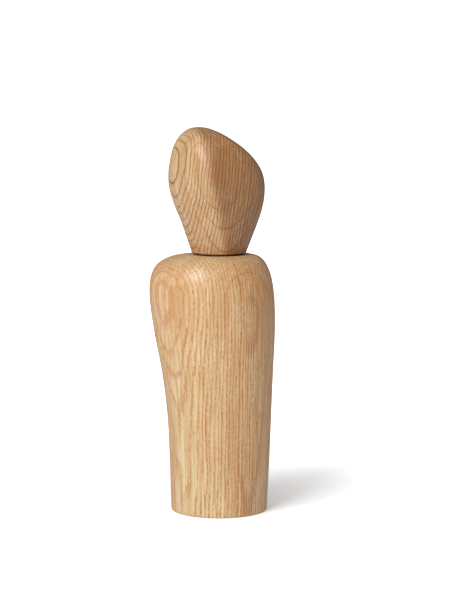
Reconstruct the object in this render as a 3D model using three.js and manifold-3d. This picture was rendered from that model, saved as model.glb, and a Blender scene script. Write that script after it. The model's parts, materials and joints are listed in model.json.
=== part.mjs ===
// An oak pepper mill shaped like a kokeshi doll: a pebble head turns on a limbless, shouldered body.
// A square shaft carries the head's turn down to a ceramic burr grinder in the base. The head lifts
// off the shaft for filling, and a knob under the base sets how fine the mill grinds.
// Millimetres, +Z up, and -Y is the front. Each piece is drawn about the shaft's axis, with z = 0 on the
// table. The finished mill is then moved so that the origin is the middle of its outline on the table.
import * as THREE from "three";
import { mergeVertices } from "three/addons/utils/BufferGeometryUtils.js";
import Module from "manifold-3d";

const wasm = await Module();
wasm.setup();

// ---- Driving dimensions ----

const SHAFT_AXIS = { x: 4.1, y: -0.32 }; // right of the outline's middle: the shoulder bulges left
const NECK_Z = 156.6; // flat seat on top of the body
const FIT = 0.1; // axial gap between pieces that rest on each other
const CUT = 1; // how far a cutting tool runs past the face it opens

const SKIN_SIDES = 40; // corners in each ring of the oak skins
const TURNED_SIDES = 32; // facets round a turned piece
const SMALL_SIDES = 12; // facets round a screw

const EDGE = 1.2; // rounded lower edge of the two oak pieces

const BODY_BORE = { recess: 24, recessTop: 10, chamber: 19, chamberTop: 134, neck: 12.3 };

const SHAFT = { half: 3, bottom: 14, top: 176, threadRadius: 2.5, threadBottom: 2.6 };
const SHAFT_SLOT = SHAFT.half + 0.15; // half the side of every square hole that slides on the shaft
const CLIP_GROOVE = { bottom: 45.7, top: 46.5, radius: 3.4 };

const FLANGE = { radius: 15.5, thickness: 0.9 };
const FLANGE_Z = NECK_Z + FIT;
const HEAD_Z = FLANGE_Z + FLANGE.thickness; // underside of the oak head

const SOCKET = {
  plugRadius: 12.7,
  barbRadius: 12.9,
  top: 182,
  spigotRadius: 11.9,
  bottom: 149.5,
  cavityRadius: 10.3,
  roof: 178.5,
  bossRadius: 6,
  bossBottom: 152,
};
const SOCKET_BORE = { radius: 13.1, top: 182.5 };
const GRIP = { leaf: 3.35, thick: 0.45, nip: 0.25, bottom: 161, top: 177.2, pocket: 3.95, width: 4.6 };
const SOCKET_SCREW = { offset: 8.15, head: 1.9, headHeight: 1.5, shank: 1.3, length: 10 };

const HOUSING = {
  radius: 18.7,
  flangeRadius: 23.6,
  flangeTop: BODY_BORE.recessTop - 0.2,
  bottom: 7.9,
  hubBottom: 40,
  top: 44.5,
  hubInner: 5.4,
  hubOuter: 8,
};
const BURR_SEAT = { radius: 16.8, top: 23.2 };
const OUTER_BURR = { radius: 16.5, bottom: 7.9, top: 23, teeth: 16 };
const INNER_BURR = { bottom: 8.8, top: 24, teeth: 12 };
const CARRIER = { flat: 5.2, bottom: 8.3, squareFrom: 12.5, collar: 7.1, top: 25.6 };
const PLATE = { inner: 14.9, outer: 23.6, bottom: 5.8, top: 7.8 };
const PLATE_SCREW = { offset: 21.4, head: 2.2, headHeight: 1.6, shank: 1.35, length: 13, count: 3 };

const WASHER = { inner: 4.5, outer: 7.2, bottom: 38.7, top: 39.7 };
const SPRING = { radius: 5.9, wire: 0.5, turns: 4.5 };
const BUSH = { outer: 5.32, flange: 6.6, bottom: 40.1, flangeTop: 45.6 };
const CLIP = { inner: 3.55, outer: 6.1, bottom: 45.8, thickness: 0.6 };
const KNOB = { radius: 10.4, scallop: 0.55, lobes: 12, bottom: 1.6, top: 8.1 };
const INSERT = { radius: 3.9, bottom: 3.1, top: 7.6, bore: 2.58 };

// ---- Outlines of the two oak skins ----
// Each station gives its height and how far the skin reaches to the left (-X), right (+X), front (-Y)
// and back (+Y) of the shaft's axis, and a level ring is swept through the four reaches. A prow with two
// flat cheeks stands out of the front of the head: a station gives its strength and the way it points,
// in degrees from +X. The crown's slant cuts the right side of the head, so a station also gives how far
// that flank would reach without the cut.

const BODY_STATIONS = [
  { z: EDGE, left: 29.3, right: 29.2, front: 29.3, back: 29.3 },
  { z: 30, left: 30.2, right: 30.7, front: 30.3, back: 30.4 },
  { z: 58, left: 31.6, right: 31.9, front: 31.2, back: 31.8 },
  { z: 84, left: 34.7, right: 32.9, front: 32.5, back: 33.3 },
  { z: 108, left: 39.2, right: 34.0, front: 34.0, back: 34.8 },
  { z: 128, left: 42.0, right: 33.8, front: 34.7, back: 35.3 },
  { z: 141.5, left: 41.8, right: 32.1, front: 33.5, back: 33.9 },
  { z: 150.2, left: 38.0, right: 29.0, front: 30.1, back: 30.5 },
  { z: 155, left: 30.3, right: 25.0, front: 25.7, back: 26.1 },
  { z: NECK_Z, left: 21.6, right: 20.2, front: 20.4, back: 20.6 },
];
const HEAD_STATIONS = [
  { z: HEAD_Z + EDGE, left: 16.9, right: 16.8, front: 16.8, back: 16.8, prow: 0, turn: -84, flank: 16.8 },
  { z: 167, left: 19.7, right: 20.0, front: 19.2, back: 19.4, prow: 0.1, turn: -84, flank: 20.0 },
  { z: 177, left: 23.2, right: 23.8, front: 22.0, back: 22.6, prow: 0.35, turn: -88, flank: 23.8 },
  { z: 187, left: 27.3, right: 26.7, front: 24.4, back: 25.6, prow: 0.65, turn: -94, flank: 27.2 },
  { z: 197, left: 30.2, right: 27.7, front: 25.8, back: 27.8, prow: 0.86, turn: -99, flank: 29.0 },
  { z: 206, left: 30.7, right: 26.2, front: 26.2, back: 28.6, prow: 0.96, turn: -103, flank: 29.4 },
  { z: 214, left: 29.6, right: 21.4, front: 25.6, back: 28.2, prow: 1, turn: -107, flank: 29.4 },
  { z: 220.5, left: 28.1, right: 14.7, front: 23.8, back: 26.4, prow: 1, turn: -111, flank: 28.6 },
  { z: 225.5, left: 25.7, right: 7.6, front: 21.0, back: 23.8, prow: 1, turn: -114, flank: 26 },
  { z: 229, left: 23.1, right: 1.7, front: 17.4, back: 20.0, prow: 0.95, turn: -117, flank: 21 },
  { z: 231.6, left: 19.9, right: -4.0, front: 12.6, back: 14.8, prow: 0.85, turn: -120, flank: 12 },
  { z: 233, left: 16.5, right: -8.4, front: 7.0, back: 8.2, prow: 0.7, turn: -120, flank: -1 },
  { z: 233.4, left: 12.3, right: -12.3, front: 0, back: 0, prow: 0.7, turn: -120, flank: -12.3 },
];
// Half the arc that the prow's cheeks cover, and how softly they meet, in radians.
const PROW = { half: THREE.MathUtils.degToRad(45), tip: THREE.MathUtils.degToRad(13) };
const SLANT_SOFT = 2; // how softly the slant cuts the flank

// ---- Solids ----

// A closed three.js geometry as a manifold-3d solid.
function solidOf(geometry) {
  const bare = geometry.clone();
  bare.deleteAttribute("normal");
  bare.deleteAttribute("uv");
  const merged = mergeVertices(bare, 1e-4);
  return new wasm.Manifold(
    new wasm.Mesh({
      numProp: 3,
      vertProperties: new Float32Array(merged.attributes.position.array),
      triVerts: new Uint32Array(merged.index.array),
    }),
  );
}

// A manifold-3d solid as a flat-shaded three.js geometry.
function geometryOf(solid) {
  const mesh = solid.getMesh();
  const geometry = new THREE.BufferGeometry();
  geometry.setAttribute("position", new THREE.BufferAttribute(mesh.vertProperties, 3));
  geometry.setIndex(new THREE.BufferAttribute(mesh.triVerts, 1));
  const flat = geometry.toNonIndexed();
  flat.computeVertexNormals();
  return flat;
}

// A solid turned about Z from [radius, height] corners, listed anticlockwise as seen with the axis on
// the left. A profile that leaves the axis is closed on itself and makes a ring.
function turned(corners, sides = TURNED_SIDES) {
  const points = corners.map(([radius, height]) => new THREE.Vector2(radius, height));
  if (corners[0][0] > 0) points.push(points[0].clone());
  return solidOf(new THREE.LatheGeometry(points, sides).rotateX(Math.PI / 2));
}

// A turned disc or post between two heights.
function post(radius, bottom, top, sides = TURNED_SIDES) {
  return turned([[0, bottom], [radius, bottom], [radius, top], [0, top]], sides);
}

// A box given by its half sides across X and Y and its two heights.
function bar(halfX, halfY, bottom, top) {
  const box = new THREE.BoxGeometry(2 * halfX, 2 * halfY, top - bottom);
  return solidOf(box.translate(0, 0, (bottom + top) / 2));
}

// A flat shape pushed up from one height to another.
function plate(shape, bottom, top, curveSegments = 12) {
  const options = { depth: top - bottom, bevelEnabled: false, curveSegments };
  return solidOf(new THREE.ExtrudeGeometry(shape, options).translate(0, 0, bottom));
}

// The mean of a ring's points.
function middle(ring) {
  const sum = ring.reduce((total, p) => total.add(p), new THREE.Vector3());
  return sum.divideScalar(ring.length);
}

// A closed skin through rings of points. A fan closes each end: the lower one on its ring's middle,
// the upper one on its ring's middle or on a tip of its own.
function skin(rings, tip = middle(rings.at(-1))) {
  const sides = rings[0].length;
  const points = [...rings.flat(), middle(rings[0]), tip];
  const low = rings.length * sides;
  const high = low + 1;
  const index = [];
  for (let k = 0; k < sides; k++) {
    const next = (k + 1) % sides;
    for (let row = 0; row < rings.length - 1; row++) {
      const a = row * sides + k;
      const b = row * sides + next;
      index.push(a, b, b + sides, a, b + sides, a + sides);
    }
    const top = (rings.length - 1) * sides;
    index.push(low, next, k, high, top + k, top + next);
  }
  const geometry = new THREE.BufferGeometry().setFromPoints(points);
  return solidOf(geometry.setIndex(index));
}

// One level ring through the four reaches of a station, with the head's prow and its cut flank.
function ring({ z, left, right, front, back, prow = 0, turn = 0, flank = right }) {
  const full = Math.max(flank, right);
  const soft = Math.min(SLANT_SOFT, full - right);
  const points = Array.from({ length: SKIN_SIDES }, (_, k) => {
    const angle = (2 * Math.PI * k) / SKIN_SIDES;
    const fromProw = angle - THREE.MathUtils.degToRad(turn) + Math.PI;
    const offProw = THREE.MathUtils.euclideanModulo(fromProw, 2 * Math.PI) - Math.PI;
    const cheek = Math.max(0, PROW.half - Math.hypot(offProw, PROW.tip));
    const reach = 1 / Math.cos(prow * cheek);
    const x = (full - left) / 2 + ((full + left) / 2) * reach * Math.cos(angle);
    const y = (back - front) / 2 + ((back + front) / 2) * reach * Math.sin(angle);
    return new THREE.Vector3((x + right - Math.hypot(x - right, 2 * soft)) / 2, y, z);
  });
  const low = Math.min(...points.map((point) => point.x));
  const width = Math.max(...points.map((point) => point.x)) - low;
  const stretch = width > 0 ? (right + left) / width : 1;
  points.forEach((point) => point.setX((point.x - low) * stretch - left));
  return points;
}

// Rings spaced evenly along a spline through the stations, above a rounded lower edge.
function oakRings(stations, rows, edgeZ) {
  const sides = Object.keys(stations[0]).filter((key) => key !== "z");
  const curves = sides.map(
    (side) => new THREE.SplineCurve(stations.map((s) => new THREE.Vector2(s[side], s.z))),
  );
  const stationAt = (t) => {
    const points = curves.map((curve) => curve.getPoint(t));
    return { z: points[0].y, ...Object.fromEntries(sides.map((side, i) => [side, points[i].x])) };
  };
  const foot = stations[0];
  const edge = [0, 1, 2].map((step) => {
    const turn = (step / 3) * (Math.PI / 2);
    const tuck = EDGE * (1 - Math.sin(turn));
    const reach = Object.fromEntries(sides.slice(0, 4).map((side) => [side, foot[side] - tuck]));
    return { ...reach, z: edgeZ + EDGE * (1 - Math.cos(turn)) };
  });
  const along = Array.from({ length: rows + 1 }, (_, row) => stationAt(row / rows));
  return [...edge, ...along].map(ring);
}

// A cross-recessed screw pointing up, with its head's underside at the given height.
function screw(x, y, underside, size) {
  const low = underside - size.headHeight;
  const tip = underside + size.length;
  const blank = turned(
    [
      [0, low],
      [size.head * 0.72, low],
      [size.head, low + size.headHeight * 0.55],
      [size.head, underside],
      [size.shank, underside],
      [size.shank, tip - 2.5 * size.shank],
      [0, tip],
    ],
    SMALL_SIDES,
  );
  const slot = bar(size.head * 0.6, size.head * 0.14, low - CUT, low + size.headHeight * 0.6);
  const cross = slot.add(slot.rotate([0, 0, 90]));
  return blank.subtract(cross).translate([x, y, 0]);
}

// ---- The oak pieces ----

function oakBody() {
  const rings = oakRings(BODY_STATIONS, 18, 0);
  const { recess, recessTop, chamber, chamberTop, neck } = BODY_BORE;
  const bore = turned([
    [0, -CUT],
    [recess, -CUT],
    [recess, recessTop],
    [chamber, recessTop],
    [chamber, chamberTop],
    [neck, chamberTop],
    [neck, NECK_Z + CUT],
    [0, NECK_Z + CUT],
  ]);
  const pilots = plateScrewPlaces().map(([x, y]) =>
    post(PLATE_SCREW.shank + FIT, recessTop - CUT, PLATE.bottom + PLATE_SCREW.length, SMALL_SIDES)
      .translate([x, y, 0]),
  );
  return pilots.reduce((solid, pilot) => solid.subtract(pilot), skin(rings).subtract(bore));
}

// The head's last ring has shrunk to a point, which becomes the crown that the skin closes on.
function oakHead() {
  const rings = oakRings(HEAD_STATIONS, 24, HEAD_Z);
  const crown = middle(rings.pop());
  const bore = post(SOCKET_BORE.radius, HEAD_Z - CUT, SOCKET_BORE.top);
  const pilots = [-1, 1].map((side) =>
    post(SOCKET_SCREW.shank + FIT, SOCKET.roof, SOCKET.roof + SOCKET_SCREW.length + FIT, SMALL_SIDES)
      .translate([0, side * SOCKET_SCREW.offset, 0]),
  );
  return pilots.reduce((solid, pilot) => solid.subtract(pilot), skin(rings, crown).subtract(bore));
}

// ---- The grinder, which stays with the body ----

function grinderHousing() {
  const { radius, flangeRadius, flangeTop, bottom, hubBottom, top, hubInner, hubOuter } = HOUSING;
  const shell = turned([
    [BURR_SEAT.radius, bottom],
    [flangeRadius, bottom],
    [flangeRadius, flangeTop],
    [radius, flangeTop],
    [radius, top],
    [radius - 1.2, top],
    [radius - 1.2, hubBottom],
    [BURR_SEAT.radius - 1.4, BURR_SEAT.top + 1.5],
    [BURR_SEAT.radius - 1.4, BURR_SEAT.top],
    [BURR_SEAT.radius, BURR_SEAT.top],
  ]);
  const hub = turned([[hubInner, hubBottom], [hubOuter, hubBottom], [hubOuter, top], [hubInner, top]]);
  const armLength = (radius - hubInner) / 2 - 0.4;
  const arm = bar(armLength, 1.9, hubBottom, top).translate([(radius + hubInner) / 2, 0, 0]);
  const arms = [90, 210, 330].map((turn) => arm.rotate([0, 0, turn]));
  const holes = plateScrewPlaces().map(([x, y]) =>
    post(PLATE_SCREW.shank + 0.15, bottom - CUT, flangeTop + CUT, SMALL_SIDES).translate([x, y, 0]),
  );
  const whole = arms.reduce((solid, each) => solid.add(each), shell.add(hub));
  return holes.reduce((solid, hole) => solid.subtract(hole), whole);
}

// A burr's working face: rings of teeth that lean round as they climb. Each row is
// [height, tip radius, tooth depth, lean in teeth], and depth grows away from the tip radius.
function toothedSkin(rows, teeth, inward) {
  const perTooth = 4;
  const shape = [0, 0.15, 1, 0.45]; // a steep cutting edge and a slow back
  return skin(
    rows.map(([height, tip, depth, lean]) =>
      Array.from({ length: teeth * perTooth }, (_, k) => {
        const angle = (2 * Math.PI * (k / perTooth + lean)) / teeth;
        const radius = tip + (inward ? -1 : 1) * depth * shape[k % perTooth];
        return new THREE.Vector3(radius * Math.cos(angle), radius * Math.sin(angle), height);
      }),
    ),
  );
}

function outerBurr() {
  const { radius, bottom, top, teeth } = OUTER_BURR;
  const blank = turned([
    [0, bottom],
    [radius - 0.5, bottom],
    [radius, bottom + 0.5],
    [radius, top],
    [0, top],
  ]);
  const face = [
    [bottom - CUT, 14.35, 0.4, 0],
    [11.2, 13.1, 0.5, 0.25],
    [15.5, 12.5, 1.0, 0.8],
    [top + CUT, 14.3, 1.4, 1.8],
  ];
  return blank.subtract(toothedSkin(face, teeth, false));
}

function retainingPlate() {
  const { inner, outer, bottom, top } = PLATE;
  const ringPlate = turned([
    [inner, bottom + 0.6],
    [inner + 0.6, bottom],
    [outer - 0.5, bottom],
    [outer, bottom + 0.5],
    [outer, top],
    [inner, top],
  ]);
  const holes = plateScrewPlaces().map(([x, y]) =>
    post(PLATE_SCREW.shank + 0.15, bottom - CUT, top + CUT, SMALL_SIDES).translate([x, y, 0]),
  );
  return holes.reduce((solid, hole) => solid.subtract(hole), ringPlate);
}

function plateScrewPlaces() {
  return Array.from({ length: PLATE_SCREW.count }, (_, k) => {
    const angle = THREE.MathUtils.degToRad(90 + (360 / PLATE_SCREW.count) * k);
    return [PLATE_SCREW.offset * Math.cos(angle), PLATE_SCREW.offset * Math.sin(angle)];
  });
}

// ---- The drive, which turns with the head ----

function driveShaft() {
  const { half, bottom, top, threadRadius, threadBottom } = SHAFT;
  const square = bar(half, half, bottom, top);
  const corner = half * Math.SQRT2;
  const envelope = turned([
    [0, threadBottom],
    [threadRadius - 0.4, threadBottom],
    [threadRadius, threadBottom + 0.4],
    [threadRadius, bottom - 0.8],
    [corner + 0.1, bottom + 1.2],
    [corner + 0.1, CLIP_GROOVE.bottom],
    [CLIP_GROOVE.radius, CLIP_GROOVE.bottom],
    [CLIP_GROOVE.radius, CLIP_GROOVE.top],
    [corner + 0.1, CLIP_GROOVE.top],
    [corner + 0.1, top - 1.5],
    [half - 0.6, top],
    [0, top],
  ]);
  const thread = post(threadRadius, threadBottom, bottom + 1);
  return square.add(thread).intersect(envelope);
}

function shaftBush() {
  const { outer, flange, bottom, flangeTop } = BUSH;
  const sleeve = turned([
    [0, bottom],
    [outer, bottom],
    [outer, HOUSING.top + FIT],
    [flange, HOUSING.top + FIT],
    [flange, flangeTop],
    [0, flangeTop],
  ]);
  return sleeve.subtract(bar(SHAFT_SLOT, SHAFT_SLOT, bottom - CUT, flangeTop + CUT));
}

function thrustWasher() {
  const { inner, outer, bottom, top } = WASHER;
  return turned([[inner, bottom], [outer, bottom], [outer, top], [inner, top]]);
}

// A wire swept up a helix between the carrier's collar and the washer, with its ends laid flat.
class SpringCurve extends THREE.Curve {
  getPoint(t, target = new THREE.Vector3()) {
    const low = CARRIER.top + SPRING.wire + FIT;
    const high = WASHER.bottom - SPRING.wire - FIT;
    const angle = 2 * Math.PI * SPRING.turns * t;
    const flat = 0.1; // share of the wire that lies level at each end
    const climb = THREE.MathUtils.clamp((t - flat) / (1 - 2 * flat), 0, 1);
    const rise = climb * climb * (3 - 2 * climb) * 0.15 + climb * 0.85;
    return target.set(
      SPRING.radius * Math.cos(angle),
      SPRING.radius * Math.sin(angle),
      low + (high - low) * rise,
    );
  }
}

function burrSpring() {
  const wire = new THREE.Shape().absarc(0, 0, SPRING.wire, 0, 2 * Math.PI);
  const options = { extrudePath: new SpringCurve(), steps: 72, curveSegments: 3 };
  return solidOf(new THREE.ExtrudeGeometry(wire, options));
}

function shaftClip() {
  const gap = THREE.MathUtils.degToRad(32); // half the mouth's angle
  const shape = new THREE.Shape();
  shape.absarc(0, 0, CLIP.outer, gap, -gap, false);
  shape.absarc(0, 0, CLIP.inner, -gap, gap, true);
  shape.closePath();
  return plate(shape, CLIP.bottom, CLIP.bottom + CLIP.thickness);
}

// ---- The inner burr, which slides on the shaft ----

function hexagon(flat, bottom, top) {
  const across = flat / Math.cos(Math.PI / 6);
  return post(across, bottom, top, 6);
}

function burrCarrier() {
  const { flat, bottom, squareFrom, collar, top } = CARRIER;
  const core = hexagon(flat, bottom, top - 1.2);
  const cap = turned([[0, top - 1.4], [collar, top - 1.4], [collar, top], [0, top]]);
  const foot = turned([[0, bottom], [7.4, bottom], [7.4, bottom + 0.4], [0, bottom + 0.4]]);
  const square = bar(SHAFT_SLOT, SHAFT_SLOT, squareFrom, top + CUT);
  const round = post(SHAFT.threadRadius + 0.3, bottom - CUT, squareFrom + CUT);
  return core.add(cap).add(foot).subtract(square).subtract(round);
}

function innerBurr() {
  const { bottom, top, teeth } = INNER_BURR;
  const face = [
    [bottom, 13.25, 0.35, 0],
    [11.4, 12.2, 0.45, -0.25],
    [15.5, 10.6, 1.1, -0.8],
    [20.5, 9.2, 1.5, -1.6],
    [top, 8.2, 0.5, -2.1],
  ];
  return toothedSkin(face, teeth, true).subtract(
    hexagon(CARRIER.flat + FIT, bottom - CUT, top + CUT),
  );
}

// ---- The setting knob ----

function adjustKnob() {
  const { radius, scallop, lobes, bottom, top } = KNOB;
  const outline = (shrink) =>
    Array.from({ length: lobes * 4 }, (_, k) => {
      const angle = (2 * Math.PI * k) / (lobes * 4);
      const reach = radius - shrink - scallop * (1 - Math.cos(lobes * angle)) * 0.5;
      return new THREE.Vector3(reach * Math.cos(angle), reach * Math.sin(angle), 0);
    });
  const level = (shrink, z) => outline(shrink).map((p) => p.setZ(z));
  const grip = skin([level(1.0, bottom), level(0, bottom + 1), level(0, top - 1.6), level(2.6, top)]);
  const dish = turned([
    [0, bottom - CUT],
    [6.2, bottom - CUT],
    [5.4, INSERT.bottom - FIT],
    [0, INSERT.bottom - FIT],
  ]);
  const seat = post(INSERT.radius + FIT, bottom, INSERT.top + FIT);
  const hole = post(SHAFT.threadRadius + 0.3, INSERT.top, top + CUT);
  return grip.subtract(dish).subtract(seat).subtract(hole);
}

function knobInsert() {
  const { radius, bottom, top, bore } = INSERT;
  return turned([[bore, bottom], [radius, bottom], [radius, top], [bore, top]]);
}

// ---- The head's drive socket ----

function driveSocket() {
  const s = SOCKET;
  const barb = (z) => [[s.barbRadius, z], [s.plugRadius, z + 2]];
  const outside = turned([
    [0, s.bottom],
    [s.spigotRadius - 0.6, s.bottom],
    [s.spigotRadius, s.bottom + 0.6],
    [s.spigotRadius, FLANGE_Z],
    [FLANGE.radius - 0.2, FLANGE_Z],
    [FLANGE.radius, FLANGE_Z + FLANGE.thickness / 2],
    [FLANGE.radius - 0.2, HEAD_Z],
    [s.plugRadius, HEAD_Z],
    ...[162, 170].flatMap((z) => [[s.plugRadius, z], ...barb(z)]),
    [s.plugRadius, s.top - 0.8],
    [s.plugRadius - 0.8, s.top],
    [0, s.top],
  ]);
  const cavity = post(s.cavityRadius, s.bottom - CUT, s.roof);
  const boss = post(s.bossRadius, s.bossBottom, s.roof + CUT);
  const rib = bar(s.cavityRadius + 0.4, 0.7, HEAD_Z + 1, s.roof + CUT);
  const slot = bar(SHAFT_SLOT, SHAFT_SLOT, s.bossBottom - CUT, s.roof - 0.8);
  const pocket = bar(GRIP.pocket, SHAFT_SLOT, GRIP.bottom - 1, s.roof - 0.8);
  const screwHoles = [-1, 1].map((side) =>
    post(SOCKET_SCREW.shank + 0.3, s.roof - CUT, s.top + CUT, SMALL_SIDES)
      .translate([0, side * SOCKET_SCREW.offset, 0]),
  );
  const solid = outside.subtract(cavity).add(boss).add(rib).subtract(slot).subtract(pocket);
  return screwHoles.reduce((whole, hole) => whole.subtract(hole), solid);
}

// A bent strip that straddles the shaft's end. Its two leaves nip the shaft so that the head stays on.
function gripClip() {
  const { leaf, thick, nip, bottom, top, width } = GRIP;
  const nipZ = bottom + 4;
  const outside = leaf + thick;
  const right = [
    [leaf + 0.15, bottom],
    [leaf - nip, nipZ],
    [leaf, nipZ + 4],
    [leaf, top - thick],
  ];
  const rightOut = [
    [outside, top],
    [outside, nipZ + 4],
    [outside - nip, nipZ],
    [outside + 0.1, bottom],
  ];
  const mirror = (list) => list.map(([x, z]) => [-x, z]).reverse();
  const outline = [...right, ...mirror(right), ...mirror(rightOut), ...rightOut];
  const shape = new THREE.Shape(outline.map(([x, z]) => new THREE.Vector2(x, z)));
  const strip = new THREE.ExtrudeGeometry(shape, { depth: width, bevelEnabled: false });
  return solidOf(strip.rotateX(Math.PI / 2).translate(0, width / 2, 0));
}

// ---- Materials and assembly ----

const finish = (color, roughness, metalness = 0) =>
  new THREE.MeshStandardMaterial({ color, roughness, metalness });

const OAK = finish(0xcda877, 0.5);
const BLACK_PLASTIC = finish(0x1b1a1a, 0.35);
const CERAMIC = finish(0xe9e6df, 0.3);
const ALUMINIUM = finish(0xb9bcc0, 0.35, 1);
const STEEL = finish(0xa8a9ab, 0.3, 1);
const BRASS = finish(0xc9a45c, 0.3, 1);

const mill = new THREE.Group();
mill.position.set(SHAFT_AXIS.x, SHAFT_AXIS.y, 0);

function place(name, solid, material) {
  const mesh = new THREE.Mesh(geometryOf(solid), material);
  mesh.name = name;
  mill.add(mesh);
}

place("oak_body", oakBody(), OAK);
place("grinder_housing", grinderHousing(), BLACK_PLASTIC);
place("outer_burr", outerBurr(), CERAMIC);
place("retaining_plate", retainingPlate(), BLACK_PLASTIC);
plateScrewPlaces().forEach(([x, y], k) =>
  place(`plate_screw_${k + 1}`, screw(x, y, PLATE.bottom - FIT, PLATE_SCREW), STEEL),
);

place("drive_shaft", driveShaft(), ALUMINIUM);
place("shaft_bush", shaftBush(), BLACK_PLASTIC);
place("thrust_washer", thrustWasher(), STEEL);
place("burr_spring", burrSpring(), STEEL);
place("shaft_clip", shaftClip(), STEEL);

place("inner_burr", innerBurr(), CERAMIC);
place("burr_carrier", burrCarrier(), BLACK_PLASTIC);

place("adjust_knob", adjustKnob(), BLACK_PLASTIC);
place("knob_insert", knobInsert(), BRASS);

place("oak_head", oakHead(), OAK);
place("drive_socket", driveSocket(), BLACK_PLASTIC);
[-1, 1].forEach((side, k) =>
  place(
    `socket_screw_${k + 1}`,
    screw(0, side * SOCKET_SCREW.offset, SOCKET.roof - FIT, SOCKET_SCREW),
    STEEL,
  ),
);
place("grip_clip", gripClip(), STEEL);

export default mill;
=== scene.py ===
"""The looks of an oak pepper mill in kokeshi form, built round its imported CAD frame."""

import json
import math

import bpy
import numpy as np
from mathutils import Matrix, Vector

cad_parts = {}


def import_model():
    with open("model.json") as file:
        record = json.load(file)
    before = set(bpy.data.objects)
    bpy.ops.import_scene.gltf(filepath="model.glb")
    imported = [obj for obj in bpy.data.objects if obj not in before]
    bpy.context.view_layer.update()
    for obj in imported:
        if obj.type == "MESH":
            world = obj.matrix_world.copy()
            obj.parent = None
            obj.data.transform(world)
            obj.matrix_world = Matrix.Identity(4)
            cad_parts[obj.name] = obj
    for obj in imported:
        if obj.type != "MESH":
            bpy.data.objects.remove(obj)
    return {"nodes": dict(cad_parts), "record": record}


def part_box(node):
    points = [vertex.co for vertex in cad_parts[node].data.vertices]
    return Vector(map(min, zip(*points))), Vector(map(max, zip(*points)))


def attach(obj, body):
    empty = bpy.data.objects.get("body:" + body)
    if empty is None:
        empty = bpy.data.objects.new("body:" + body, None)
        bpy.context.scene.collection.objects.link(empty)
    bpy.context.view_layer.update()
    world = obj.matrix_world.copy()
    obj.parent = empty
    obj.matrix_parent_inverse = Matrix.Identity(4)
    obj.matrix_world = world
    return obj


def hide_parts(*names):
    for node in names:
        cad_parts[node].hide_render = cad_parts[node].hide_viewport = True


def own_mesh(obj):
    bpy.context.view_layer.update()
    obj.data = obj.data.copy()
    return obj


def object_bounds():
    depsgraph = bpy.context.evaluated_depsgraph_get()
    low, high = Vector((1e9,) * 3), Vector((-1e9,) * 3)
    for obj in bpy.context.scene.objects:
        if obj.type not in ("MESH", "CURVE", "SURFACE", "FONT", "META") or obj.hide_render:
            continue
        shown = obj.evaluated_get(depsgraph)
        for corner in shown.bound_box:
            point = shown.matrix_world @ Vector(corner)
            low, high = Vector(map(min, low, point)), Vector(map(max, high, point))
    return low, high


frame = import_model()
cad_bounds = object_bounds()
scene = bpy.context.scene

AXIS = (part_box("drive_shaft")[0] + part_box("drive_shaft")[1]) / 2  # the foot of the shaft's axis
AXIS.z = 0
MM = 0.001  # lengths below are in millimetres unless a comment says metres
SKIN_SIDES = 176  # corners in each ring of the oak skins
SPAN_ROWS = 9  # rings between two stations of an oak skin
SHARP_ANGLE = math.radians(40)  # edges of the new pieces that bend more than this stay sharp
PROW_HALF = math.radians(45)  # half the arc that the two flat cheeks of the head's prow cover
PROW_TIP = math.radians(13)  # how softly the cheeks meet
TRIM_SOFT = 2.0  # how softly the crown's slant cuts the head's flank

# Each station of a skin: height, then reach to the left, right, front and back of the shaft.
BODY_STATIONS = [
    (1.2, 29.3, 29.2, 29.3, 29.3),
    (30, 30.2, 30.7, 30.3, 30.4),
    (58, 31.6, 31.9, 31.2, 31.8),
    (84, 34.7, 32.9, 32.5, 33.3),
    (108, 39.2, 34.0, 34.0, 34.8),
    (128, 42.0, 33.8, 34.7, 35.3),
    (141.5, 41.8, 32.1, 33.5, 33.9),
    (150.2, 38.0, 29.0, 30.1, 30.5),
    (155, 30.3, 25.0, 25.7, 26.1),
    (156.6, 21.6, 20.2, 20.4, 20.6),
]
# The head's stations add the strength of the prow, the way it points in degrees from +X, and the
# reach of the right flank before the crown's slant cuts it.
HEAD_STATIONS = [
    (158.8, 16.9, 16.8, 16.8, 16.8, 0, -84, 16.8),
    (167, 19.7, 20.0, 19.2, 19.4, 0.1, -84, 20.0),
    (177, 23.2, 23.8, 22.0, 22.6, 0.35, -88, 23.8),
    (187, 27.3, 26.7, 24.4, 25.6, 0.65, -94, 27.2),
    (197, 30.2, 27.7, 25.8, 27.8, 0.86, -99, 29.0),
    (206, 30.7, 26.2, 26.2, 28.6, 0.96, -103, 29.4),
    (214, 29.6, 21.4, 25.6, 28.2, 1, -107, 29.4),
    (220.5, 28.1, 14.7, 23.8, 26.4, 1, -111, 28.6),
    (225.5, 25.7, 7.6, 21.0, 23.8, 1, -114, 26),
    (229, 23.1, 1.7, 17.4, 20.0, 0.95, -117, 21),
    (231.6, 19.9, -4.0, 12.6, 14.8, 0.85, -120, 12),
    (233, 16.5, -8.4, 7.0, 8.2, 0.7, -120, -1),
    (233.4, 12.3, -12.3, 0, 0, 0.7, -120, -12.3),
]
BODY_BORE = {"recess": 24, "recess_top": 10, "chamber": 19, "chamber_top": 134, "neck": 12.3}
HEAD_BORE = {"radius": 13.1, "top": 182.5}
FOOT_EDGE = 1.2  # the radius of the lower edge of both skins
FOOT_STEPS = 6  # rings in that edge
BODY_LIP = 0.35  # the chamfers inside the body
HEAD_LIP = 0.3
NECK_SEAT = 5  # how far the flat seat's last ring stands from the neck bore
SPRING_WIRE = 0.5  # the wire's radius
SPRING_TURNS = 4.5
SPRING_END = 0.1  # the share of the wire that lies level at each end
SPRING_EASE = 0.15  # how softly the wire leaves its level ends, from 0 to 1
SPRING_STEPS = 36  # rings of points in each turn of the spring
WIRE_SIDES = 14  # points in each ring of the spring's wire


# ---- Node trees ----


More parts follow.
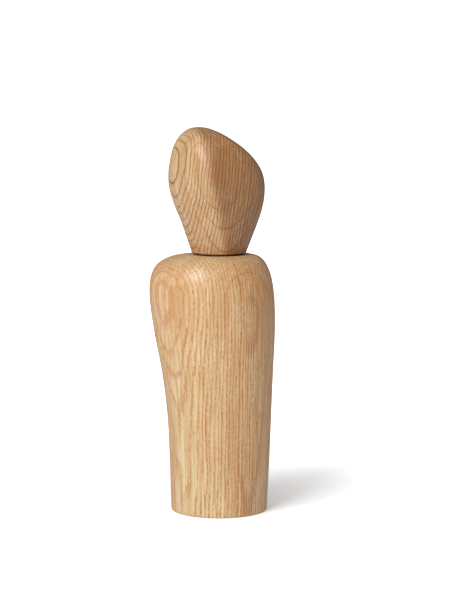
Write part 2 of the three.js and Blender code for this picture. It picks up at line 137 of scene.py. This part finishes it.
class Shader:
    """A material's node tree, with one short call for each kind of node."""

    def __init__(self, name):
        self.material = bpy.data.materials.new(name)
        self.material.use_nodes = True
        self.tree = self.material.node_tree
        self.tree.nodes.clear()
        self.output = self.tree.nodes.new("ShaderNodeOutputMaterial")

    def put(self, socket, value):
        """Links another node's output to the socket, or sets the socket to a plain value."""
        if isinstance(value, bpy.types.NodeSocket):
            self.tree.links.new(value, socket)
        else:
            socket.default_value = value

    def node(self, kind, inputs=None, **settings):
        made = self.tree.nodes.new(kind)
        for key, value in settings.items():
            setattr(made, key, value)
        for key, value in (inputs or {}).items():
            self.put(made.inputs[key], value)
        return made

    def calc(self, operation, *values):
        return self.node("ShaderNodeMath", dict(enumerate(values)), operation=operation).outputs[0]

    def vector(self, operation, *values):
        made = self.node("ShaderNodeVectorMath", dict(enumerate(values)), operation=operation)
        return made.outputs["Value" if operation in ("LENGTH", "DOT_PRODUCT") else "Vector"]

    def millimetres(self):
        """The place on the piece, in its own millimetres."""
        place = self.node("ShaderNodeTexCoord").outputs["Object"]
        return self.vector("MULTIPLY", place, (1 / MM, 1 / MM, 1 / MM))

    def combine(self, x, y, z):
        return self.node("ShaderNodeCombineXYZ", {"X": x, "Y": y, "Z": z}).outputs[0]

    def noise(self, place, stretch, detail=2.0, roughness=0.5, shift=0.0):
        moved = self.vector("MULTIPLY_ADD", place, stretch, (shift, shift * 0.7, shift * 1.3))
        inputs = {"Vector": moved, "Scale": 1.0, "Detail": detail, "Roughness": roughness}
        return self.node("ShaderNodeTexNoise", inputs)

    def wave_of(self, place, stretch, reach, **options):
        """Noise as a number that swings evenly to either side of nought."""
        fac = self.noise(place, stretch, **options).outputs["Fac"]
        return self.calc("MULTIPLY", self.calc("SUBTRACT", fac, 0.5), 2 * reach)

    def step(self, value, low, high):
        """A smooth step from 0 at low to 1 at high."""
        inputs = {"Value": value, "From Min": low, "From Max": high, "To Min": 0.0, "To Max": 1.0}
        made = self.node("ShaderNodeMapRange", inputs, interpolation_type="SMOOTHSTEP")
        return made.outputs["Result"]

    def mix(self, share, first, second, blend="MIX"):
        """Two colours mixed. The node's colour sockets are numbers 6 and 7, and 2 on its output side."""
        made = self.node("ShaderNodeMix", data_type="RGBA", blend_type=blend)
        for socket, value in (("Factor", share), (6, first), (7, second)):
            self.put(made.inputs[socket], value)
        return made.outputs[2]

    def finish(self, **inputs):
        """Ends the tree in one principled surface, with underscores for the spaces in input names."""
        named = {key.replace("_", " "): value for key, value in inputs.items()}
        shader = self.node("ShaderNodeBsdfPrincipled", named)
        self.tree.links.new(shader.outputs[0], self.output.inputs["Surface"])
        return self.material

    def bump(self, height, depth, strength):
        """A normal roughened by a height from 0 to 1 that stands for a depth in millimetres."""
        inputs = {"Height": height, "Distance": depth * MM, "Strength": strength}
        return self.node("ShaderNodeBump", inputs).outputs["Normal"]


def srgb(red, green, blue):
    """An sRGB colour of 0 to 255 as a linear colour with alpha."""
    parts = [c / 255 for c in (red, green, blue)]
    linear = [c / 12.92 if c <= 0.04045 else ((c + 0.055) / 1.055) ** 2.4 for c in parts]
    return (*linear, 1.0)


# ---- Materials ----

OAK = {
    "pale": srgb(236, 215, 178),
    "straw": srgb(216, 180, 132),
    "honey": srgb(208, 158, 109),
    "fleck": srgb(196, 150, 102),
    "early": srgb(212, 154, 96),
    "bead": srgb(194, 118, 54),
    "pore": srgb(156, 100, 60),
    "rim": srgb(140, 76, 40),
    "ray": srgb(176, 110, 72),
}
OIL_TINT = (1.0, 0.99, 0.94, 1.0)

# How each piece was cut from the tree, in the piece's own millimetres.
BODY_CUT = {
    "seed": 0.0,  # shifts every noise, so that the two pieces differ
    "rings_face": (-0.76, -0.65),  # the level direction from the piece towards the pith
    "pith_away": 400,  # how far off the pith stands
    "rake": 0.0,  # how much nearer the pith comes with each millimetre of height
    "ring_step": 1.85,
    "ray_step": 3.6,
    "streaks": 0.8,  # how far the fibres drag the edges of the rings
    "rim_depth": 0.06,  # how strongly the dark first line of each ring shows, from 0 to 1
    "ray_depth": 0.35,
    "ray_fade": (400, 401),  # the rays fade away between these heights
    "edge_band": 0.0,  # how strong the darker band beside the edge of the dark wood is
    # The dark tone is partly painted shade on the body's sides and back.
    "dark_and_shaded_tone": (0.785, 0.685, 0.58),
    "pale_tone": (0.825, 0.845, 0.79),
    "tone_edge": (-20, -10),  # the depths at which the wood is fully dark, partly painted shade, and fully pale
    "end_grain_and_top_shade_tone": (0.91, 0.88, 0.86),  # what upward faces are multiplied by: end grain, and partly painted shade that dims the lit tops
}
HEAD_CUT = {
    "seed": 40.0,
    "rings_face": (-0.92, -0.39),
    "pith_away": 120.9,
    "rake": 0.1,
    "ring_step": 2.0,
    "ray_step": 5.35,
    "streaks": 0.2,
    "rim_depth": 0.88,
    "ray_depth": 0.65,
    "ray_fade": (186, 206),
    "edge_band": 0.85,
    # The dark tone is partly painted shade on the head's right cheek, which is turned from the light.
    "dark_and_shaded_tone": (0.455, 0.33, 0.225),
    "pale_tone": (0.69, 0.62, 0.53),
    "tone_edge": (-56.5, -49.0),
    "end_grain_and_top_shade_tone": (0.99, 0.98, 0.97),
}
# The body's pale wood is a slab round this place, and reaches this much deeper outward than sideways;
# the darker wood beyond it is partly painted shade.
PALE_SLAB = {"sideways": 14, "outward": 8, "deeper": 8}
# The edge of the head's dark wood, partly painted shade, leans outward by this share of its height, up
# to the top.
DARK_SHADE_EDGE = {"lean": 0.32, "top": 206}
EDGE_BAND_DEPTHS = (-6, 1)  # the darker band comes in between these depths, counted from the dark wood's edge
PORE_DEPTH = 0.05
SURFACE_DEPTH = 0.02  # the fine marks in metal, plastic and ceramic


class Timber(Shader):
    """Solid oak with upright growth rings, pore lines and ray sheets."""

    def __init__(self, name, cut):
        """Measures places outward to the pith, sideways along the rings and upward along the grain."""
        super().__init__(name)
        self.cut = cut
        self.seed = cut["seed"]
        place = self.millimetres()
        radial = Vector((*cut["rings_face"], 0)).normalized()
        along_ring = Vector((-radial.y, radial.x, 0))
        self.outward = self.vector("DOT_PRODUCT", place, radial[:])
        self.sideways = self.vector("DOT_PRODUCT", place, along_ring[:])
        self.upward = self.height_of(place)
        self.grain = self.combine(self.outward, self.sideways, self.upward)
        leaning = self.calc("MULTIPLY_ADD", self.upward, cut["rake"], self.outward)
        self.to_pith = self.calc("SUBTRACT", cut["pith_away"], leaning)
        self.cloud = self.speckle((0.035, 0.035, 0.014), 2.0, 0.5, 31)

    def waver(self, stretch, reach, detail, shift):
        """A swing to either side of nought that follows the grain."""
        return self.wave_of(self.grain, stretch, reach, detail=detail, shift=self.seed + shift)

    def speckle(self, stretch, detail, roughness, shift):
        """Noise from 0 to 1 that follows the grain."""
        options = {"detail": detail, "roughness": roughness, "shift": self.seed + shift}
        return self.noise(self.grain, stretch, **options).outputs["Fac"]

    def height_of(self, place):
        return self.node("ShaderNodeSeparateXYZ", {0: place}).outputs["Z"]

    def flip(self, value):
        """The value taken from one."""
        return self.calc("SUBTRACT", 1.0, value)

    def random_of(self, number):
        """A random number from 0 to 1 for each whole number."""
        inputs = {"W": self.calc("FLOOR", number)}
        return self.node("ShaderNodeTexWhiteNoise", inputs, noise_dimensions="1D").outputs["Value"]

    def rings(self):
        """The strength of the porous early wood that begins each year, and of its dark first line."""
        streaks = self.cut["streaks"]
        bend = self.waver((0.012, 0.012, 0.0045), 5.0, 1.0, 0)
        ripple = self.waver((0.07, 0.10, 0.028), 1.15, 1.0, 3)
        fray = self.waver((1.1, 1.1, 0.07), 0.14 + 0.3 * streaks, 1.0, 5)
        streak = self.waver((0.5, 0.5, 0.02), streaks, 2.0, 7)
        reach = self.vector("LENGTH", self.combine(self.to_pith, self.sideways, 0.0))
        for shift in (bend, ripple, fray, streak):
            reach = self.calc("ADD", reach, shift)
        spread = self.wave_of(self.combine(reach, 0.0, 0.0), (0.17, 0, 0), 1.3, shift=self.seed)
        year = self.calc("DIVIDE", self.calc("ADD", reach, spread), self.cut["ring_step"])
        phase = self.calc("FRACT", year)
        vigour = self.calc("MULTIPLY_ADD", self.random_of(year), 0.45, 0.55)
        onset = self.step(phase, 0.93, 1.0)
        early = self.calc("MAXIMUM", onset, self.flip(self.step(phase, 0.12, 0.42)))
        rim = self.calc("MAXIMUM", onset, self.flip(self.step(phase, 0.04, 0.16)))
        rim = self.calc("MULTIPLY", rim, vigour)
        # Where the surface runs along the rings, the early wood shows more faintly.
        aside = self.step(self.calc("ABSOLUTE", self.sideways), 3, 20)
        square = self.calc("MULTIPLY_ADD", aside, 0.34, 0.56)
        early = self.calc("MULTIPLY", self.calc("MULTIPLY", early, vigour), square)
        return early, rim

    def pores(self, early):
        """Short upright dashes, thick in the early wood, and single pores in the late wood."""
        beads = self.speckle((1.5, 1.5, 0.42), 2.0, 0.6, 23)
        dashes = self.calc("MULTIPLY", early, self.step(beads, 0.36, 0.56))
        singles = self.speckle((1.4, 1.4, 0.55), 2.0, 0.5, 27)
        share = self.calc("MULTIPLY_ADD", early, 0.4, 0.6)
        return dashes, self.calc("MULTIPLY", self.step(singles, 0.54, 0.68), share)

    def rays(self):
        """Thin sheets square to the rings that come and go along their height, and a tone for each."""
        step = self.cut["ray_step"]
        bearing = self.calc("MULTIPLY", self.sideways, self.cut["pith_away"])
        bearing = self.calc("DIVIDE", bearing, self.to_pith)
        sway = self.waver((0.03, 0.03, 0.02), 1.0, 1.0, 11)
        sheet = self.calc("DIVIDE", self.calc("ADD", bearing, sway), step)
        from_sheet = self.calc("MULTIPLY", self.calc("PINGPONG", sheet, 0.5), step)
        ray = self.flip(self.step(from_sheet, 0.10, 0.34))
        present = self.speckle((0.04, 0.25, 0.03), 1.0, 0.5, 13)
        ray = self.calc("MULTIPLY", ray, self.step(present, 0.28, 0.48))
        ray = self.calc("MULTIPLY", ray, self.flip(self.step(self.upward, *self.cut["ray_fade"])))
        return ray, self.step(self.random_of(sheet), 0.4, 0.9)

    def wood(self, early, rim, dashes, pores):
        """The colour of the wood before its tone."""
        ray, fleck = self.rays()
        fibre = self.speckle((0.5, 0.5, 0.022), 3.0, 0.62, 29)
        colour = self.mix(self.step(fibre, 0.34, 0.68), OAK["pale"], OAK["straw"])
        layers = (
            ("honey", self.step(self.cloud, 0.42, 0.70), 0.35),
            ("fleck", fleck, 0.22),
            ("early", early, 0.46),
            ("bead", dashes, 1.0),
            ("pore", pores, 0.55),
            ("rim", rim, self.cut["rim_depth"]),
            ("ray", ray, self.cut["ray_depth"]),
        )
        for tint, strength, depth in layers:
            colour = self.mix(self.calc("MULTIPLY", strength, depth), colour, OAK[tint])
        return colour

    def toned(self, colour, depth):
        """The wood in its dark and pale tones, the dark partly painted shade, with a darker band beside
        the edge, and upward faces darkened as end grain and partly as painted shade.
        """
        dark, pale = self.cut["tone_edge"]
        # The dark tone is partly painted shade, on the sides turned from the light.
        paleness = self.step(depth, dark, pale)
        tone = self.mix(paleness, (*self.cut["dark_and_shaded_tone"], 1.0), (*self.cut["pale_tone"], 1.0))
        colour = self.mix(1.0, colour, tone, blend="MULTIPLY")
        # A darker band along the dark wood's edge, in cloudy patches.
        onset = self.step(depth, *[dark + edge for edge in EDGE_BAND_DEPTHS])
        edge_band = self.calc("MULTIPLY", onset, self.flip(paleness))
        edge_band = self.calc("MULTIPLY", edge_band, self.step(self.cloud, 0.36, 0.60))
        colour = self.mix(self.calc("MULTIPLY", edge_band, self.cut["edge_band"]), colour, OAK["rim"])
        normal = self.node("ShaderNodeNewGeometry").outputs["Normal"]
        # Upward faces are darkened: end grain, and partly painted shade that dims the lit tops.
        end_grain_and_top_shade = self.step(self.height_of(normal), 0.15, 0.7)
        return self.mix(end_grain_and_top_shade, colour, (*self.cut["end_grain_and_top_shade_tone"], 1.0), blend="MULTIPLY")

    def oiled(self, depth):
        """The finished material: oil sinks into the pores and leaves a low sheen between them."""
        early, rim = self.rings()
        dashes, pores = self.pores(early)
        colour = self.toned(self.wood(early, rim, dashes, pores), depth)
        hollow = self.calc("ADD", self.calc("MULTIPLY", dashes, 0.5), self.calc("MULTIPLY", pores, 0.6))
        facing = self.node("ShaderNodeLayerWeight", {"Blend": 0.5}).outputs["Facing"]
        roughness = self.calc("MULTIPLY_ADD", hollow, 0.18, 0.38)
        roughness = self.calc("MULTIPLY_ADD", self.step(facing, 0.55, 1.0), 0.3, roughness)
        return self.finish(
            Base_Color=colour,
            Roughness=roughness,
            Normal=self.bump(self.flip(hollow), PORE_DEPTH, 0.5),
            Specular_IOR_Level=0.5,
            Specular_Tint=OIL_TINT,
        )


def body_oak():
    """Paler in a slab down the body's front, and darker and warmer all round it: partly the wood's own
    tone, partly painted shade on the sides and back.
    """
    s = Timber("body_oak", BODY_CUT)
    aside = s.calc("ABSOLUTE", s.calc("SUBTRACT", s.sideways, PALE_SLAB["sideways"]))
    beyond = s.calc("ABSOLUTE", s.calc("SUBTRACT", s.outward, PALE_SLAB["outward"]))
    beyond = s.calc("SUBTRACT", beyond, PALE_SLAB["deeper"])
    return s.oiled(s.calc("MULTIPLY", s.calc("MAXIMUM", aside, beyond), -1.0))


def head_oak():
    """Pale on the side that faces the pith, and dark past a leaning edge: partly the wood's own darker
    colour, partly painted shade on the cheek turned from the light.
    """
    s = Timber("head_oak", HEAD_CUT)
    height = s.calc("MINIMUM", s.upward, DARK_SHADE_EDGE["top"])
    return s.oiled(s.calc("MULTIPLY_ADD", height, -DARK_SHADE_EDGE["lean"], s.outward))


def moulded(name, colour, roughness, grain):
    """Moulded plastic or ceramic: a fine, even grain and a slight unevenness of sheen."""
    s = Shader(name)
    place = s.millimetres()
    fine = s.noise(place, (grain, grain, grain), detail=2.0).outputs["Fac"]
    broad = s.noise(place, (0.15, 0.15, 0.15), detail=1.0).outputs["Fac"]
    lighter = tuple(min(1.0, c * 1.1 + 0.003) for c in colour[:3]) + (1.0,)
    tint = s.mix(s.step(broad, 0.3, 0.7), colour, lighter)
    sheen = s.calc("ADD", roughness, s.calc("MULTIPLY", s.calc("SUBTRACT", fine, 0.5), 0.12))
    normal = s.bump(fine, SURFACE_DEPTH, 0.35)
    return s.finish(Base_Color=tint, Roughness=sheen, Normal=normal, IOR=1.5)


def metal(name, colour, roughness, stretch):
    """Machined metal: fine marks that run the way the stretch is smallest."""
    s = Shader(name)
    place = s.millimetres()
    marks = s.noise(place, stretch, detail=3.0, roughness=0.6).outputs["Fac"]
    duller = tuple(c * 0.82 for c in colour[:3]) + (1.0,)
    tint = s.mix(s.step(marks, 0.3, 0.75), colour, duller)
    sheen = s.calc("ADD", roughness, s.calc("MULTIPLY", s.calc("SUBTRACT", marks, 0.5), 0.2))
    normal = s.bump(marks, SURFACE_DEPTH, 0.3)
    return s.finish(Base_Color=tint, Roughness=sheen, Metallic=1.0, Normal=normal)


MATERIALS = {
    "body_oak": body_oak(),
    "head_oak": head_oak(),
    "black_plastic": moulded("black_plastic", srgb(38, 34, 33), 0.34, 3.0),
    "ceramic": moulded("ceramic", srgb(236, 232, 222), 0.28, 5.0),
    "aluminium": metal("aluminium", srgb(205, 207, 210), 0.3, (3.0, 3.0, 0.08)),
    "steel": metal("steel", srgb(190, 190, 192), 0.28, (2.0, 2.0, 2.0)),
    "brass": metal("brass", srgb(214, 176, 104), 0.26, (0.4, 0.4, 6.0)),
}


# ---- The oak skins ----


def spline(stations):
    """Catmull-Rom rows through the stations, with the same number of steps in each span."""
    table = np.array(stations, float)
    before = np.vstack([table[:1], table[:-1]])
    after = np.vstack([table[1:], table[-1:]])
    if np.allclose(table[-1, 1] + table[-1, 2], 0):  # a closed crown: meet it level, not on a point
        mirrored = table[-2].copy()
        mirrored[1:3] = -table[-2, 2:0:-1]
        mirrored[3:5] = -table[-2, 4:2:-1]
        mirrored[7] = -table[-2, 1]
        after[-1] = mirrored
    slope = (after - before) / 2
    rows = []
    for span in range(len(table) - 1):
        for step in range(SPAN_ROWS):
            t = step / SPAN_ROWS
            start = (2 * t**3 - 3 * t**2 + 1) * table[span]
            end = (3 * t**2 - 2 * t**3) * table[span + 1]
            leave = (t**3 - 2 * t**2 + t) * slope[span]
            arrive = (t**3 - t**2) * slope[span + 1]
            rows.append(start + end + leave + arrive)
    return np.array(rows + [table[-1]])


def ring(height, left, right, front, back, prow=0.0, turn=0.0, flank=None):
    """A level ring through the four reaches, with the head's prow and trimmed flank if it has them."""
    flank = right if flank is None else max(flank, right)
    angle = np.linspace(0, 2 * math.pi, SKIN_SIDES, endpoint=False)
    # Across the prow the ring moves out to two flat cheeks.
    off_prow = (angle - math.radians(turn) + math.pi) % (2 * math.pi) - math.pi
    cheek = np.maximum(0, PROW_HALF - np.hypot(off_prow, PROW_TIP))
    reach = 1 / np.cos(prow * cheek)
    x = (flank - left) / 2 + (flank + left) / 2 * reach * np.cos(angle)
    y = (back - front) / 2 + (back + front) / 2 * reach * np.sin(angle)
    # The flank is cut off softly at the right reach, and the ring stretched back to its reaches.
    soft = min(TRIM_SOFT, flank - right)
    x = (x + right - np.sqrt((x - right) ** 2 + 4 * soft**2)) / 2
    if np.ptp(x) > 0:
        x = np.interp(x, (x.min(), x.max()), (-left, right))
    return np.stack([x, y, np.full(SKIN_SIDES, height)], axis=1)


def circle(radius, height):
    """A level circle round the shaft, in metres."""
    return ring(height, *[radius] * 4) * MM + np.array(AXIS)


def rounded_foot(station):
    """Rings that round the lower edge, up to a station's own ring."""
    height, *reach = station[:5]
    rings = []
    for step in range(FOOT_STEPS):
        turn = step / FOOT_STEPS * math.pi / 2
        tuck = FOOT_EDGE * (1 - math.sin(turn))
        drop = FOOT_EDGE * math.cos(turn)
        rings.append(ring(height - drop, *[side - tuck for side in reach]))
    return rings


def outside_of(stations, node):
    """The outside rings of a skin, from its foot up, fitted to the CAD node's box."""
    rings = rounded_foot(stations[0]) + [ring(*station) for station in spline(stations)]
    return list(fit(np.array(rings), node))


def fit(points, node):
    """The points moved and stretched so that their box is the CAD node's box, in metres."""
    low, high = (np.array(corner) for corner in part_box(node))
    mine_low = points.reshape(-1, 3).min(0)
    mine_high = points.reshape(-1, 3).max(0)
    return low + (points - mine_low) / (mine_high - mine_low) * (high - low)


def bridge(first, second):
    """Quads between two rings, given by the numbers of their first corners."""
    quads = []
    for side in range(SKIN_SIDES):
        following = (side + 1) % SKIN_SIDES
        quads.append((first + side, first + following, second + following, second + side))
    return quads


def new_piece(name, points, faces, material):
    """A smooth piece in the scene, with its sharp edges kept sharp."""
    mesh = bpy.data.meshes.new(name)
    mesh.from_pydata([tuple(p) for p in points], [], faces)
    mesh.shade_smooth()
    mesh.set_sharp_from_angle(angle=SHARP_ANGLE)
    mesh.materials.append(MATERIALS[material])
    piece = bpy.data.objects.new(name, mesh)
    scene.collection.objects.link(piece)
    return piece


def replace(piece, body, node):
    """Lets the piece ride on a body in place of a CAD node."""
    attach(piece, body)
    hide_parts(node)


def body_skin():
    """The body: its outside, then down the neck bore, the chamber and the recess to the foot again."""
    outside = outside_of(BODY_STATIONS, "oak_body")
    top = outside[-1][0, 2] / MM
    neck, chamber, recess = (BODY_BORE[part] for part in ("neck", "chamber", "recess"))
    chamber_top, recess_top = BODY_BORE["chamber_top"], BODY_BORE["recess_top"]
    inside = [
        (neck + NECK_SEAT, top),
        (neck + BODY_LIP, top),
        (neck, top - BODY_LIP),
        (neck, chamber_top + BODY_LIP),
        (neck + BODY_LIP, chamber_top),
        (chamber, chamber_top),
        (chamber, recess_top),
        (recess, recess_top),
        (recess, BODY_LIP),
        (recess + BODY_LIP, 0),
    ]
    rings = outside + [circle(radius, height) for radius, height in inside]
    faces = []
    for row in range(len(rings)):
        faces += bridge(row * SKIN_SIDES, (row + 1) % len(rings) * SKIN_SIDES)
    piece = new_piece("oak_body_skin", np.concatenate(rings), faces, "body_oak")
    replace(piece, "mill_body", "oak_body")


def head_skin():
    """The head: down the blind bore that holds the socket, then up its outside to the crown."""
    outside = outside_of(HEAD_STATIONS, "oak_head")
    crown = outside.pop().mean(0)
    foot = outside[0][0, 2] / MM
    radius, top = HEAD_BORE["radius"], HEAD_BORE["top"]
    inside = [(radius, top), (radius, foot + HEAD_LIP), (radius + HEAD_LIP, foot)]
    rings = [circle(reach, height) for reach, height in inside] + outside
    bore_end = AXIS + Vector((0, 0, top * MM))
    points = np.concatenate(rings + [[crown], [bore_end]])
    crown_point = len(rings) * SKIN_SIDES
    faces = []
    for row in range(len(rings) - 1):
        faces += bridge(row * SKIN_SIDES, (row + 1) * SKIN_SIDES)
    last = (len(rings) - 1) * SKIN_SIDES
    for side in range(SKIN_SIDES):
        following = (side + 1) % SKIN_SIDES
        faces.append((last + side, last + following, crown_point))
        faces.append((following, side, crown_point + 1))
    piece = new_piece("oak_head_skin", points, faces, "head_oak")
    replace(piece, "head", "oak_head")


# ---- The mechanism, which keeps its CAD nodes except for the spring ----

WELD_REACH = 1e-6  # metres
FLAT_ANGLE = math.radians(0.5)  # facets that bend less than this are one flat face
BEVEL_ANGLE = math.radians(32)  # edges that bend more than this are rounded
FACE_WEIGHT = 80  # how strongly large faces hold their own shading


def refine(node, bevel):
    """Rounds a CAD node's edges and shades it smooth, without touching its own points."""
    piece = frame["nodes"][node]
    slots = {part["node"]: part["material_slot"] for part in frame["record"]["subparts"]}
    piece.data.materials.clear()
    piece.data.materials.append(MATERIALS[slots[node]])
    weld = piece.modifiers.new("weld", "WELD")
    weld.merge_threshold = WELD_REACH
    flat = piece.modifiers.new("flat", "DECIMATE")
    flat.decimate_type = "DISSOLVE"
    flat.angle_limit = FLAT_ANGLE
    edge = piece.modifiers.new("edge", "BEVEL")
    edge.width = bevel * MM
    edge.segments = 2
    edge.limit_method = "ANGLE"
    edge.angle_limit = BEVEL_ANGLE
    normals = piece.modifiers.new("normals", "WEIGHTED_NORMAL")
    normals.weight = FACE_WEIGHT
    piece.data.shade_smooth()


def spring_rise(share):
    """The share of the spring's height reached at a share of its wire, level at both ends."""
    climb = min(1, max(0, (share - SPRING_END) / (1 - 2 * SPRING_END)))
    eased = climb * climb * (3 - 2 * climb)
    return SPRING_EASE * eased + (1 - SPRING_EASE) * climb


def burr_spring():
    """The spring as a round wire, coiled in the box of the CAD spring it stands in for."""
    low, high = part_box("burr_spring")
    middle = (low + high) / 2
    wire = SPRING_WIRE * MM
    radius = (high.x - low.x) / 2 - wire
    points = []
    steps = round(SPRING_TURNS * SPRING_STEPS)
    for step in range(steps + 1):
        share = step / steps
        turn = 2 * math.pi * SPRING_TURNS * share
        outward = Vector((math.cos(turn), math.sin(turn), 0))
        height = low.z + wire + (high.z - low.z - 2 * wire) * spring_rise(share)
        centre = Vector((middle.x, middle.y, height)) + outward * radius
        for side in range(WIRE_SIDES):
            angle = 2 * math.pi * side / WIRE_SIDES
            lift = Vector((0, 0, wire * math.sin(angle)))
            points.append(centre + outward * wire * math.cos(angle) + lift)
    faces = []
    for step in range(steps):
        for side in range(WIRE_SIDES):
            following = (side + 1) % WIRE_SIDES
            first = step * WIRE_SIDES
            second = first + WIRE_SIDES
            faces.append((first + side, second + side, second + following, first + following))
    faces.append(tuple(range(WIRE_SIDES)))
    faces.append(tuple(steps * WIRE_SIDES + side for side in reversed(range(WIRE_SIDES))))
    piece = new_piece("burr_spring_wire", points, faces, "steel")
    replace(piece, "drive", "burr_spring")
    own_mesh(piece)


SCREW_BEVEL = 0.08
# How far each piece's edges are rounded, in millimetres.
BEVELS = {
    "grinder_housing": 0.15,
    "outer_burr": 0.08,
    "retaining_plate": 0.15,
    "drive_shaft": 0.12,
    "shaft_bush": 0.1,
    "thrust_washer": 0.1,
    "shaft_clip": 0.06,
    "inner_burr": 0.08,
    "burr_carrier": 0.1,
    "adjust_knob": 0.15,
    "knob_insert": 0.1,
    "drive_socket": 0.12,
    "grip_clip": 0.05,
}
BEVELS.update({f"plate_screw_{number}": SCREW_BEVEL for number in (1, 2, 3)})
BEVELS.update({f"socket_screw_{number}": SCREW_BEVEL for number in (1, 2)})


# ---- The stage ----

FLOOR_REACH = 40  # metres from the middle to each side
FLOOR_GLOW = 0.245  # how brightly the floor under the mill glows to the camera
GLOW_FADE = (20, 370)  # the distances in millimetres between which the floor turns plain white
SKY_SEEN = 1.0  # how bright the world is to the camera
SKY_LIGHT = 0.36  # and as a light

# Places in metres from the middle of the base, and powers in watts.
KEY_LIGHT = {"place": (-0.725, -1.15, 1.34), "width": 0.9, "power": 26.5, "tone": (0.985, 0.995, 1.02)}
FRONT_LIGHT = {"place": (-0.4, -1.6, 0.75), "width": 0.8, "power": 5, "tone": (1, 1, 1)}

CAMERA_STAND = (0.0036, -1.24, 0.27)  # metres from the shaft's foot
CAMERA_DIP = math.radians(6.5)  # how far the camera looks down
CAMERA_LENS = 123.4  # millimetres, as is the sensor
CAMERA_SENSOR = 36
CAMERA_FAR = 50  # metres


def floor():
    """A white floor. To the camera it glows a little near the mill, and turns plain white far off."""
    s = Shader("pale_floor")
    place = s.millimetres()
    mottle = s.noise(place, (0.004, 0.004, 0.004), detail=2.0).outputs["Fac"]
    colour = s.mix(mottle, srgb(246, 246, 246), srgb(249, 249, 249))
    seen = s.node("ShaderNodeLightPath").outputs["Is Camera Ray"]
    glow = s.calc("ADD", s.step(s.vector("LENGTH", place), *GLOW_FADE), FLOOR_GLOW)
    glow = s.calc("MULTIPLY", glow, seen)
    white = (1, 1, 1, 1)
    material = s.finish(Base_Color=colour, Roughness=0.9, Emission_Color=white, Emission_Strength=glow)
    mesh = bpy.data.meshes.new("floor")
    corners = [(x * FLOOR_REACH, y * FLOOR_REACH, 0) for x, y in ((-1, -1), (1, -1), (1, 1), (-1, 1))]
    mesh.from_pydata(corners, [], [(0, 1, 2, 3)])
    mesh.materials.append(material)
    plane = bpy.data.objects.new("floor", mesh)
    scene.collection.objects.link(plane)


def soft_light(name, place, width, power, tone):
    """A round area light that faces the middle of the mill."""
    lamp = bpy.data.lights.new(name, "AREA")
    lamp.shape = "DISK"
    lamp.size = width
    lamp.energy = power
    lamp.color = tone
    holder = bpy.data.objects.new(name, lamp)
    holder.location = place
    middle = (cad_bounds[0] + cad_bounds[1]) / 2
    holder.rotation_euler = (middle - holder.location).to_track_quat("-Z", "Y").to_euler()
    scene.collection.objects.link(holder)


def world():
    """White where the camera sees it, and a soft grey light everywhere else."""
    sky = bpy.data.worlds.new("studio")
    scene.world = sky
    sky.use_nodes = True
    nodes = sky.node_tree.nodes
    links = sky.node_tree.links
    seen = nodes.new("ShaderNodeLightPath")
    strength = nodes.new("ShaderNodeMapRange")
    strength.inputs["To Min"].default_value = SKY_LIGHT
    strength.inputs["To Max"].default_value = SKY_SEEN
    links.new(seen.outputs["Is Camera Ray"], strength.inputs["Value"])
    nodes["Background"].inputs["Color"].default_value = (1, 1, 1, 1)
    links.new(strength.outputs["Result"], nodes["Background"].inputs["Strength"])


def camera():
    """A long lens in front of the mill, a little above its top and looking down."""
    lens = bpy.data.cameras.new("camera")
    lens.sensor_width = CAMERA_SENSOR
    lens.lens = CAMERA_LENS
    lens.clip_end = CAMERA_FAR
    holder = bpy.data.objects.new("camera", lens)
    holder.location = AXIS + Vector(CAMERA_STAND)
    holder.rotation_euler = (math.pi / 2 - CAMERA_DIP, 0, 0)
    scene.collection.objects.link(holder)
    scene.camera = holder


body_skin()
head_skin()
burr_spring()
for node, bevel in BEVELS.items():
    refine(node, bevel)
floor()
soft_light("key", **KEY_LIGHT)
soft_light("front", **FRONT_LIGHT)
world()
camera()
scene.view_settings.view_transform = "Standard"
